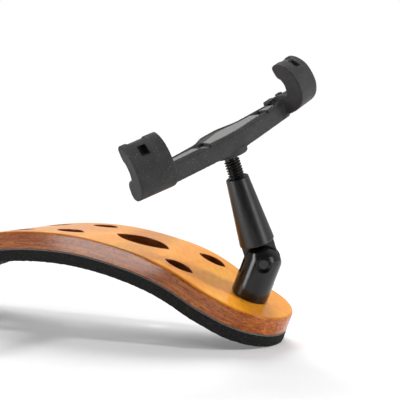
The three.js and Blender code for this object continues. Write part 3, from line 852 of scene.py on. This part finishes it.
class Nodes:
    """The nodes of a material or of the world, with short ways to add to them."""

    def __init__(self, owner, shader):
        owner.use_nodes = True
        self.tree = owner.node_tree
        self.shader = self.tree.nodes[shader]

    def add(self, kind, **settings):
        node = self.tree.nodes.new(f"ShaderNode{kind}")
        for key, value in settings.items():
            setattr(node, key, value)
        return node

    def link(self, source, target):
        self.tree.links.new(source, target)

    def place(self, attribute="local", scale=(1, 1, 1)):
        node = self.add("Attribute", attribute_name=attribute)
        mapping = self.add("Mapping")
        set_inputs(mapping, Scale=scale)
        self.link(node.outputs["Vector"], mapping.inputs["Vector"])
        return mapping.outputs["Vector"]

    def noise(self, place, scale, detail=3.0, rough=0.55, distortion=0.0):
        node = self.add("TexNoise")
        set_inputs(node, Scale=scale, Detail=detail, Roughness=rough, Distortion=distortion)
        self.link(place, node.inputs["Vector"])
        return node.outputs["Fac"]

    def ramp(self, value, stops):
        node = self.add("ValToRGB")
        elements = node.color_ramp.elements
        while len(elements) < len(stops):
            elements.new(0.5)
        for element, (position, colour) in zip(elements, stops):
            element.position = position
            element.color = (*colour, 1)
        self.link(value, node.inputs["Fac"])
        return node.outputs["Color"]

    def grey(self, value, low, high, out_low=0.0, out_high=1.0, **settings):
        node = self.add("MapRange", **settings)
        set_inputs(node, From_Min=low, From_Max=high, To_Min=out_low, To_Max=out_high)
        self.link(value, node.inputs["Value"])
        return node.outputs["Result"]

    def mix(self, share, first, second):
        node = self.add("Mix", data_type="RGBA")
        self.link(share, node.inputs["Factor"])
        for key, value in (("A", first), ("B", second)):
            socket = [s for s in node.inputs if s.name == key and s.type == "RGBA"][0]
            if isinstance(value, tuple):
                socket.default_value = (*value, 1)
            else:
                self.link(value, socket)
        return [s for s in node.outputs if s.type == "RGBA"][0]

    def maths(self, operation, first, second):
        node = self.add("Math", operation=operation)
        for socket, value in zip(node.inputs, (first, second)):
            if isinstance(value, float):
                socket.default_value = value
            else:
                self.link(value, socket)
        return node.outputs["Value"]

    def colour(self, socket):
        self.link(socket, self.shader.inputs["Base Color"])

    def rough(self, socket):
        self.link(socket, self.shader.inputs["Roughness"])

    def bump(self, height, distance, strength=1.0):
        node = self.add("Bump")
        set_inputs(node, Distance=distance * MM, Strength=strength)
        self.link(height, node.inputs["Height"])
        self.link(node.outputs["Normal"], self.shader.inputs["Normal"])

    def set(self, **values):
        set_inputs(self.shader, **values)


def new_material(name):
    material = bpy.data.materials.new(name)
    return material, Nodes(material, "Principled BSDF")


def wood_material():
    material, m = new_material("lacquered_wood")
    fibre = m.noise(m.place("flat", (0.05, 1, 1)), 1.1, 5, 0.6, 0.3)
    figure = m.noise(m.place("flat", (0.5, 0.22, 0.3)), 0.16, 3, 0.5, 0.6)
    top = m.ramp(m.maths("ADD", m.maths("MULTIPLY", fibre, 0.55), m.maths("MULTIPLY", figure, 0.45)),
                 [(0.33, (0.62, 0.18, 0.010)), (0.5, (0.78, 0.29, 0.016)),
                  (0.68, (0.86, 0.41, 0.034))])
    ribbon = m.add("TexWave", wave_type="BANDS", bands_direction="DIAGONAL")
    set_inputs(ribbon, Scale=0.16, Distortion=9.0, Detail=3.0, Detail_Scale=0.6)
    m.link(m.place("flat", (1, 0.9, 0.4)), ribbon.inputs["Vector"])
    top = m.mix(m.grey(ribbon.outputs["Fac"], 0.2, 0.9, 0.0, 0.14), top, (0.58, 0.17, 0.015))
    side_noise = m.noise(m.place("flat", (0.09, 0.5, 1.3)), 0.9, 5, 0.65, 0.4)
    side = m.ramp(side_noise, [(0.34, (0.36, 0.07, 0.008)), (0.52, (0.62, 0.155, 0.018)),
                               (0.7, (0.82, 0.28, 0.045))])
    pores = m.noise(m.place("flat", (0.28, 1.4, 1.1)), 1.9, 2, 0.5)
    side = m.mix(m.grey(pores, 0.56, 0.64, 0.0, 0.7), side, (0.13, 0.027, 0.008))
    wall = m.add("Attribute", attribute_name="wall")
    share = m.grey(wall.outputs["Fac"], 0.35, 0.95)
    colour = m.mix(share, top, side)
    # Painted shade: the walls of the leaf-shaped holes are darkened almost to black, as shaded
    # recesses.
    hole_painted_shade = m.grey(wall.outputs["Fac"], RIM_MARK + 0.1, HOLE_MARK - 0.1, 0.0, 0.75)
    colour = m.mix(hole_painted_shade, colour, (0.05, 0.014, 0.005))
    dashes = m.noise(m.place("flat", (0.18, 2.2, 2.2)), 1.6, 1.5, 0.5)
    colour = m.mix(m.grey(dashes, 0.64, 0.72, 0.0, 0.45), colour, (0.20, 0.06, 0.018))
    m.colour(colour)
    m.rough(m.grey(fibre, 0.3, 0.7, 0.3, 0.42))
    m.bump(dashes, 0.03, 0.3)
    m.set(Coat_Weight=0.6, Coat_Roughness=0.1, Specular_IOR_Level=0.1)
    return material


def foam_material():
    material, m = new_material("cellular_foam")
    place = m.place("local")
    cells = m.add("TexVoronoi", feature="F1")
    set_inputs(cells, Scale=1.9)
    m.link(place, cells.inputs["Vector"])
    grain = m.noise(place, 2.6, 4, 0.7)
    speck = m.grey(grain, 0.35, 0.75)
    m.colour(m.ramp(speck, [(0.1, (0.008, 0.008, 0.0075)), (0.5, (0.018, 0.018, 0.017)),
                            (0.85, (0.10, 0.10, 0.095))]))
    m.rough(m.grey(grain, 0.2, 0.8, 0.85, 1.0))
    m.bump(m.maths("ADD", cells.outputs["Distance"], grain), 0.22, 0.9)
    m.set(Specular_IOR_Level=0.25)
    return material


def plain_material(name, low, high, scale, rough, bump, stretch=(1, 1, 1), **settings):
    """A lightly varied finish: colour between low and high, roughness between a pair."""
    material, m = new_material(name)
    noise = m.noise(m.place("local", stretch), scale, 4, 0.6)
    m.colour(m.ramp(noise, [(0.3, low), (0.7, high)]))
    m.rough(m.grey(noise, 0.3, 0.7, *rough))
    m.bump(noise, bump, 0.5)
    m.set(**settings)
    return material


def rubber_material():
    material, m = new_material("grip_rubber")
    place = m.place("local")
    broad = m.noise(place, 0.25, 3, 0.5)
    fine = m.noise(place, 2.4, 4, 0.7)
    base = m.ramp(m.maths("ADD", m.maths("MULTIPLY", broad, 0.5), m.maths("MULTIPLY", fine, 0.5)),
                  [(0.35, (0.036, 0.036, 0.038)), (0.65, (0.066, 0.065, 0.067))])
    specks = m.noise(place, 2.1, 2, 0.5)
    base = m.mix(m.grey(specks, 0.66, 0.72, 0.0, 0.7), base, (0.26, 0.25, 0.235))
    m.colour(base)
    m.rough(m.grey(fine, 0.3, 0.7, 0.55, 0.75))
    m.bump(fine, 0.06, 0.5)
    m.set(Specular_IOR_Level=0.45)
    return material


# Plain finishes by slot: name, two colours, size of mottling, roughness, bump, then the rest.
FINISHES = {
    "adhesive": (
        "adhesive_sheet", (0.10, 0.14, 0.17), (0.22, 0.27, 0.30), 1.2, (0.5, 0.7), 0.02, {}),
    "black_anodised": (
        "black_anodised", (0.0065, 0.0065, 0.007), (0.011, 0.011, 0.012), 0.8, (0.14, 0.2), 0.004,
        dict(Coat_Weight=0.4, Coat_Roughness=0.19, Coat_IOR=1.35, Specular_IOR_Level=0.3)),
    "satin_black": (
        "satin_black", (0.009, 0.0075, 0.0075), (0.014, 0.0125, 0.0125), 1.5, (0.3, 0.38), 0.006,
        dict(stretch=(1, 1, 0.2), Specular_IOR_Level=0.7)),
    "black_oxide": (
        "black_oxide", (0.012, 0.012, 0.012), (0.03, 0.03, 0.03), 1.4, (0.22, 0.36), 0.01,
        dict(Metallic=0.4)),
    "steel": (
        "zinc_steel", (0.42, 0.42, 0.43), (0.56, 0.56, 0.56), 1.6, (0.22, 0.36), 0.006,
        dict(Metallic=1.0)),
    "brass": (
        "brass", (0.55, 0.36, 0.12), (0.68, 0.47, 0.18), 1.2, (0.22, 0.35), 0.006,
        dict(Metallic=1.0)),
    "nylon": (
        "nylon", (0.035, 0.035, 0.037), (0.055, 0.055, 0.057), 1.1, (0.45, 0.6), 0.01, {}),
    "stiffener": (
        "stiffener", (0.15, 0.148, 0.145), (0.22, 0.217, 0.212), 2.2, (0.45, 0.6), 0.02, {}),
}
MATERIALS = {"wood": wood_material(), "foam": foam_material(), "grip_rubber": rubber_material()}
for slot_name, (*look, others) in FINISHES.items():
    MATERIALS[slot_name] = plain_material(*look, **others)


# ---- pieces ----
def add_plate():
    summit = Matrix.Translation(plate_origin())
    wood_rows = edge_rows(WOOD_THICKNESS, WOOD_TOP_ROUND, WOOD_BOTTOM_ROUND)
    hole_rows = edge_rows(WOOD_THICKNESS, LEAF_TOP_ROUND, LEAF_BOTTOM_ROUND, arcs=3)
    wood_edges = [(edge_loop(EDGE_STEP), wood_rows), *leaf_edges(EDGE_STEP, hole_rows)]
    wood_edges += [(round_loop(along, SCREW_BORE_RADIUS), pocket_rows(WOOD_THICKNESS))
                   for along in FOOT_ALONG.values()]
    wood = plate_layer(0, wood_edges, WOOD_SPACING)
    make_piece("wood_plate", wood, summit, "plate", "wood", "wood_body")
    sheet_top = WOOD_THICKNESS + LAYER_GAP
    rows = edge_rows(SHEET_THICKNESS, SHEET_ROUND, SHEET_ROUND, inset=-SHEET_OVERHANG, arcs=2)
    sheet_edges = [(edge_loop(EDGE_STEP), rows), *leaf_edges(EDGE_STEP, rows)]
    sheet = plate_layer(sheet_top, sheet_edges, SHEET_SPACING)
    make_piece("adhesive_layer", sheet, summit, "plate", "adhesive", "adhesive_sheet")
    shape = foam_shape(sheet_top + SHEET_THICKNESS + LAYER_GAP)
    foam = make_piece("foam_underlay", shape, summit, "plate", "foam", "foam_pad")


def plate_origin():
    """Where the summit of the top face is, from where the right foot stands on it."""
    foot = Vector(joints["right_foot_swivel"]["pos_m"])
    stations, xs, zs, _ = BEND_TABLES
    x, z = (float(np.interp(FOOT_ALONG["right"], stations, values)) for values in (xs, zs))
    return foot - Vector((x, 0, z)) * MM


def foam_rows(steps=6):
    """Down the foam's edge: a slight belly between its rounded corners."""
    rows = edge_rows(FOAM_THICKNESS, FOAM_TOP_ROUND, FOAM_BOTTOM_ROUND, arcs=3)
    middle = []
    for i in range(1, steps):
        t = i / steps
        depth = FOAM_TOP_ROUND + t * (FOAM_THICKNESS - FOAM_TOP_ROUND - FOAM_BOTTOM_ROUND)
        middle.append((-FOAM_BELLY * math.sin(math.pi * t), depth, 1, 0))
    return rows[:4] + middle + rows[4:]


def foam_noise(flat):
    """Small seeded waves that roughen the foam's skin."""
    rng = np.random.default_rng(7)
    total = np.zeros(len(flat))
    for size, height, waves in FOAM_WAVES:
        for _ in range(waves):
            direction = unit(rng.normal(size=3))
            phase = rng.uniform(0, 2 * math.pi)
            total += height * np.sin(flat @ direction * 2 * math.pi / size + phase) / 3
    return total


def foam_shape(foam_top):
    """The foam, pressed flat where it meets the surface it stands on."""
    rows = foam_rows()
    edges = [(edge_loop(FOAM_EDGE_STEP), rows), *leaf_edges(FOAM_LEAF_STEP, rows)]
    points, faces, normals, extras = plate_layer(foam_top, edges, FOAM_SPACING, foam_noise)
    ground = -plate_origin().z / MM
    pressed = points[:, 2] < ground
    points[:, 2] = np.maximum(points[:, 2], ground)
    normals[pressed] = unit(normals[pressed] + [0, 0, -2.0])
    return points, faces, normals, extras


def add_foot(side):
    at = foot_frames(side)
    clevis, arm, rod, bush, fork = (f"{side}_{part}" for part in
                                    ("clevis", "arm", "rod", "bush", "fork"))

    def put(name, shape, place, slot, body, node):
        make_piece(f"{side}_{name}", shape, at[place], body, slot, f"{side}_{node}")

    swivel = tube(SCREW_BORE_RADIUS, SWIVEL_WASHER_RADIUS, WASHER_CLEARANCE, SWIVEL_WASHER_TOP)
    put("swivel_disc", swivel, "base", "nylon", "plate", "swivel_washer")
    washer_top = POCKET_DEPTH - WOOD_THICKNESS - 0.05
    under = tube(SCREW_BORE_RADIUS, WASHER_RADIUS, washer_top - WASHER_THICKNESS, washer_top)
    put("screw_disc", under, "base", "steel", "plate", "screw_washer")
    put("clevis_barrel", CLEVIS_SHAPE, "base", "black_anodised", clevis, "clevis")
    put("foot_screw", mounting_screw(), "base", "steel", clevis, "mounting_screw")
    pin = turned([(0, -PIN_HALF_LENGTH), (PIN_RADIUS, -PIN_HALF_LENGTH),
                  (PIN_RADIUS, PIN_HALF_LENGTH), (0, PIN_HALF_LENGTH)], 0.3)
    put("pin", across(pin), "pivot", "satin_black", clevis, "pivot_pin")
    start = TONGUE_HALF_THICKNESS + WASHER_CLEARANCE
    disc = across(tube(PIN_RADIUS + PIN_CLEARANCE, WASHER_RADIUS, start, start + WASHER_THICKNESS))
    put("front_disc", disc, "pivot", "steel", clevis, "front_friction_washer")
    back = moved(disc, Matrix.Rotation(math.pi, 4, "X"))
    put("back_disc", back, "pivot", "steel", clevis, "back_friction_washer")
    put("cone_arm", ARM_SHAPE, "arm", "satin_black", arm, "arm")
    ring = tube(ROD_RADIUS + 0.15, MOUTH_RADIUS - 0.1, CONE_TOP - MOUTH_DEPTH + 0.2, CONE_TOP - 0.3)
    put("mouth_ring", ring, "arm", "nylon", arm, "lock_ring")
    neck_top = FORK_HEIGHT + NECK_OVERRUN
    put("height_screw", threaded_rod(neck_top), "rod", "black_oxide", rod, "rod")
    clip = tube(NECK_RADIUS - 0.3, CLIP_RADIUS, neck_top - 1.2, neck_top - 0.5)
    put("spring_clip", clip, "rod", "steel", rod, "retaining_clip")
    put("bush", rod_bush(), "fork", "brass", bush, "rod_bush")
    put("grip", GRIP_SHAPE, "fork", "grip_rubber", fork, "fork_grip")
    put("stiffener", CORE_SHAPE, "fork", "stiffener", fork, "fork_core")


# Each carved shape: its field, the box that it is looked for in, and the size of a cell.
# The stiffener's box stops 3 mm short of its far strip's end, so the strip is cut off open there.
CLEVIS_SHAPE = carved(clevis_field, (-7.5, -7.5, 0), (7.5, 7.5, 21.3), 0.22)
ARM_SHAPE = carved(arm_field, (-7, -7, -6.7), (7, 7, 32.9), 0.24)
GRIP_SHAPE = carved(grip_field, (-8.8, -50.5, -2.2), (12, 52, 21.2), 0.36)
CORE_SHAPE = carved(core_field, (-8.3, -30, 3.5), (6, 30, 8.0), 0.3)


# ---- studio ----
def add_camera():
    """The photographed view: low, from the front, about 30 degrees round to the right."""
    data = bpy.data.cameras.new("camera")
    data.lens = CAMERA_LENS
    data.sensor_width = 36
    data.clip_start, data.clip_end = 0.01, 100
    camera = new_object("camera", data)
    foot = Vector(joints["right_foot_swivel"]["pos_m"])
    camera.location = foot + Vector(CAMERA_FROM_FOOT) * MM
    camera.rotation_euler = (math.radians(90 - CAMERA_ELEVATION), 0, math.radians(CAMERA_AZIMUTH))
    bpy.context.scene.camera = camera


def add_floor():
    """White paper that ends just in front of what the camera sees of it."""
    half, near, far = 3.0, 0.08, 6.0
    mesh = bpy.data.meshes.new("floor")
    corners = [(-half, -near, 0), (half, -near, 0), (half, far, 0), (-half, far, 0)]
    mesh.from_pydata(corners, [], [(0, 1, 2, 3)])
    material, m = new_material("floor_white")
    place = m.add("TexCoord").outputs["Object"]
    m.colour(m.ramp(m.noise(place, 30, 3), FLOOR_LEVELS))
    m.set(Roughness=0.9, Specular_IOR_Level=0.1, Emission_Color=(1, 1, 1, 1),
          Emission_Strength=FLOOR_GLOW)
    mesh.materials.append(material)
    floor = new_object("floor", mesh)
    floor.location = (0.08, 0, -0.05 * MM)
    floor.rotation_euler = (0, 0, math.radians(CAMERA_AZIMUTH))


def add_light(name, data, place, direction):
    light = new_object(name, data)
    light.location = place
    light.rotation_euler = Vector(direction).to_track_quat("-Z", "Y").to_euler()
    return light


def add_lights():
    for name, direction, angle, strength in SUNS:
        data = bpy.data.lights.new(name, "SUN")
        data.angle = math.radians(angle)
        data.energy = strength
        add_light(name, data, (0, 0, 1), direction).visible_glossy = False
    for name, place, target, size, power in PANELS:
        data = bpy.data.lights.new(name, "AREA")
        data.shape = "RECTANGLE"
        data.size, data.size_y = size
        data.energy = power
        panel = add_light(name, data, place, Vector(target) - Vector(place))
        panel.visible_camera = False
        panel.visible_diffuse = False


def add_world():
    """A white surround that is dimmer on the photographer's side."""
    world = bpy.data.worlds.new("surround")
    bpy.context.scene.world = world
    m = Nodes(world, "Background")
    facing = m.add("VectorMath", operation="DOT_PRODUCT")
    facing.inputs[1].default_value = (0.35, -0.85, 0.1)
    m.link(m.add("TexCoord").outputs["Generated"], facing.inputs[0])
    fade = m.grey(facing.outputs["Value"], -0.2, 0.6, 0.55, 0.06, interpolation_type="SMOOTHSTEP")
    mix = m.add("Mix")
    m.link(m.add("LightPath").outputs["Is Camera Ray"], mix.inputs["Factor"])
    m.link(fade, mix.inputs["A"])
    mix.inputs["B"].default_value = 1.0
    m.link(mix.outputs["Result"], m.shader.inputs["Strength"])
    m.set(Color=(1, 1, 1, 1))


add_plate()
for foot_side in ("right", "left"):
    add_foot(foot_side)
add_camera()
add_floor()
add_lights()
add_world()
bpy.context.scene.view_settings.view_transform = "Standard"
